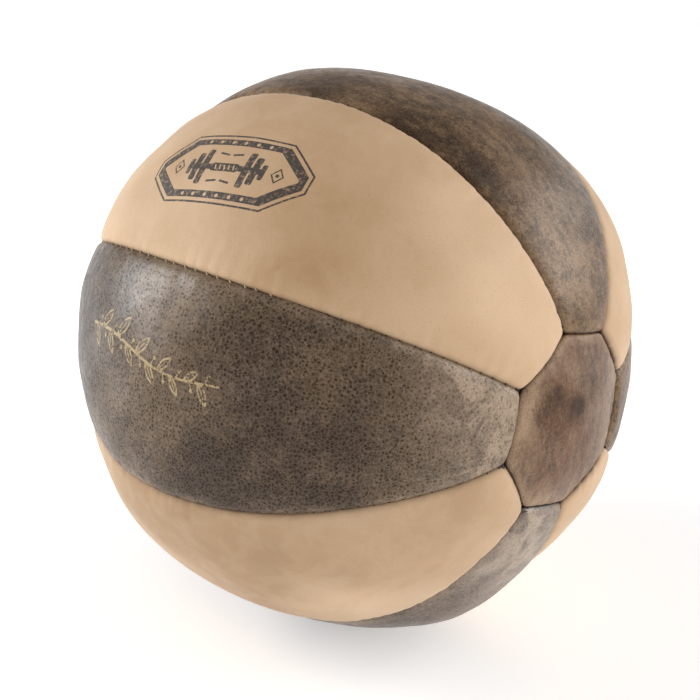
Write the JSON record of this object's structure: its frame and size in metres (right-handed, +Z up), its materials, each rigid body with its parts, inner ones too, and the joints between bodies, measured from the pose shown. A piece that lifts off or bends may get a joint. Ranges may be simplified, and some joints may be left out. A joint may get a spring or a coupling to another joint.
{
  "type": "medicine ball",
  "caption": "Round stuffed leather exercise ball: light and dark gores by turns between two octagonal end caps, sewn over canvas, wadding and packed stuffing.",
  "frame": {"origin": "centre of the ball", "axes": "X through the middles of both end caps, +X out of the one that faces the viewer; +Z up as the ball lies on a floor; Y completes the frame"},
  "size_m": [0.2726, 0.2788, 0.2788],
  "materials": {
    "light_leather": "natural undyed leather, smooth and matt, faintly cloudy",
    "dark_leather": "dark brown leather, worn, with open pores and rubbed lighter patches",
    "cap_leather": "dark brown leather, streaky, rubbed lighter along its edges",
    "canvas": "plain woven cotton canvas",
    "wadding": "needled cotton felt",
    "stuffing": "tightly packed textile fibre",
    "thread": "dark waxed linen thread",
    "tan_thread": "natural waxed linen thread"
  },
  "bodies": {
    "root": {"light_panel_1": "light_leather", "light_panel_2": "light_leather", "light_panel_3": "light_leather", "light_panel_4": "light_leather", "dark_panel_1": "dark_leather", "dark_panel_2": "dark_leather", "dark_panel_3": "dark_leather", "dark_panel_4": "dark_leather", "end_cap_right": "cap_leather", "end_cap_left": "cap_leather", "lining_gore_1": "canvas", "lining_gore_2": "canvas", "lining_gore_3": "canvas", "lining_gore_4": "canvas", "lining_gore_5": "canvas", "lining_gore_6": "canvas", "lining_gore_7": "canvas", "lining_gore_8": "canvas", "lining_cap_right": "canvas", "lining_cap_left": "canvas", "wadding_jacket": "wadding", "stuffing": "stuffing", "seam_thread_1": "thread", "seam_thread_2": "thread", "seam_thread_3": "thread", "seam_thread_4": "thread", "seam_thread_5": "thread", "seam_thread_6": "thread", "seam_thread_7": "thread", "seam_thread_8": "thread", "closing_thread": "tan_thread", "cap_thread_right": "thread", "cap_thread_left": "thread"}
  },
  "joints": []
}
